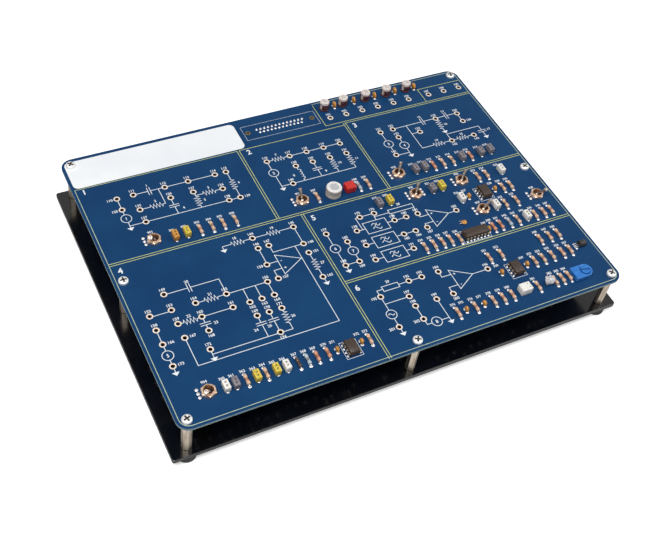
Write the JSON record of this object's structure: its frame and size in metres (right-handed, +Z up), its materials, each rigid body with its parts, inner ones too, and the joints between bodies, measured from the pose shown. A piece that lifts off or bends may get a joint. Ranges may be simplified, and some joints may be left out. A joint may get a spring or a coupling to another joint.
{
  "type": "filter trainer module",
  "caption": "Flat teaching module: a blue circuit board with test terminals, toggle switches and soldered parts, raised on hexagonal spacers over a black base plate with rubber feet.",
  "frame": {"origin": "on the table, under the centre of the module", "axes": "+X to the right along the long side, +Y to the back edge with the supply terminals, +Z up"},
  "size_m": [0.298, 0.21, 0.0422],
  "materials": {
    "board": "blue solder mask, satin",
    "plate": "polished black",
    "spacer": "nickel plated",
    "screw": "zinc plated",
    "rubber": "matt black rubber",
    "connector": "tin plated",
    "switch_body": "warm plated metal",
    "switch_lever": "bright plated metal",
    "trimmer": "moulded blue",
    "dial": "moulded pale blue",
    "chip": "moulded epoxy",
    "coil": "pale grey sleeve",
    "can": "dark red sleeve, bright top",
    "white": "moulded white",
    "red": "dipped red",
    "lamp": "clear epoxy",
    "transistor": "moulded black"
  },
  "bodies": {
    "module": {"circuit_board": "board", "base_plate": "plate", "spacer_front_left": "spacer", "spacer_front_right": "spacer", "spacer_back_left": "spacer", "spacer_back_right": "spacer", "spacer_front_middle": "spacer", "spacer_left_middle": "spacer", "spacer_right_middle": "spacer", "board_screw_front_left": "screw", "board_screw_front_right": "screw", "board_screw_back_left": "screw", "board_screw_back_right": "screw", "board_screw_front_middle": "screw", "board_screw_left_middle": "screw", "board_screw_right_middle": "screw", "base_screw_front_left": "screw", "base_screw_front_right": "screw", "base_screw_back_left": "screw", "base_screw_back_right": "screw", "base_screw_front_middle": "screw", "base_screw_left_middle": "screw", "base_screw_right_middle": "screw", "rubber_foot_front_left": "rubber", "rubber_foot_front_right": "rubber", "rubber_foot_back_left": "rubber", "rubber_foot_back_right": "rubber", "data_connector": "connector", "switch_1_body": "switch_body", "switch_2_body": "switch_body", "switch_3_body": "switch_body", "switch_4_body": "switch_body", "switch_5_body": "switch_body", "switch_6_body": "switch_body", "switch_7_body": "switch_body", "switch_8_body": "switch_body", "trimmer_housing": "trimmer", "amplifier_chip_1": "chip", "amplifier_chip_2": "chip", "amplifier_chip_3": "chip", "amplifier_chip_4": "chip", "coil": "coil", "electrolytic_1": "can", "electrolytic_2": "can", "electrolytic_3": "can", "electrolytic_4": "can", "electrolytic_5": "can", "white_capacitor": "white", "red_capacitor": "red", "indicator_lamp": "lamp", "transistor": "transistor"},
    "lever_1": {"switch_1_lever": "switch_lever"},
    "lever_2": {"switch_2_lever": "switch_lever"},
    "lever_3": {"switch_3_lever": "switch_lever"},
    "lever_4": {"switch_4_lever": "switch_lever"},
    "lever_5": {"switch_5_lever": "switch_lever"},
    "lever_6": {"switch_6_lever": "switch_lever"},
    "lever_7": {"switch_7_lever": "switch_lever"},
    "lever_8": {"switch_8_lever": "switch_lever"},
    "dial": {"trimmer_dial": "dial"}
  },
  "joints": [
    {"name": "lever_1_throw", "type": "hinge", "parent": "module", "child": "lever_1", "pos_m": [-0.1122, 0.02351, 0.035], "axis": [0.6691, -0.7431, 0], "range_deg": [-70, 0]},
    {"name": "lever_2_throw", "type": "hinge", "parent": "module", "child": "lever_2", "pos_m": [-0.01529, 0.02256, 0.035], "axis": [-0.9994, -0.0349, 0], "range_deg": [-70, 0]},
    {"name": "lever_3_throw", "type": "hinge", "parent": "module", "child": "lever_3", "pos_m": [0.05443, 0.02301, 0.035], "axis": [-0.809, 0.5878, 0], "range_deg": [-70, 0]},
    {"name": "lever_4_throw", "type": "hinge", "parent": "module", "child": "lever_4", "pos_m": [-0.12232, -0.08726, 0.035], "axis": [0.7771, -0.6293, 0], "range_deg": [-70, 0]},
    {"name": "lever_5_throw", "type": "hinge", "parent": "module", "child": "lever_5", "pos_m": [0.05616, 0.00278, 0.035], "axis": [-0.788, 0.6157, 0], "range_deg": [-70, 0]},
    {"name": "lever_6_throw", "type": "hinge", "parent": "module", "child": "lever_6", "pos_m": [0.09116, 0.00343, 0.035], "axis": [-0.6293, 0.7771, 0], "range_deg": [-70, 0]},
    {"name": "lever_7_throw", "type": "hinge", "parent": "module", "child": "lever_7", "pos_m": [0.09116, -0.02396, 0.035], "axis": [-0.1564, 0.9877, 0], "range_deg": [-70, 0]},
    {"name": "lever_8_throw", "type": "hinge", "parent": "module", "child": "lever_8", "pos_m": [0.13253, -0.02461, 0.035], "axis": [0.6947, 0.7193, 0], "range_deg": [-70, 0]},
    {"name": "dial_turn", "type": "hinge", "parent": "module", "child": "dial", "pos_m": [0.12296, -0.0921, 0.0372], "axis": [0, 0, 1], "range_deg": [-117, 153]}
  ]
}
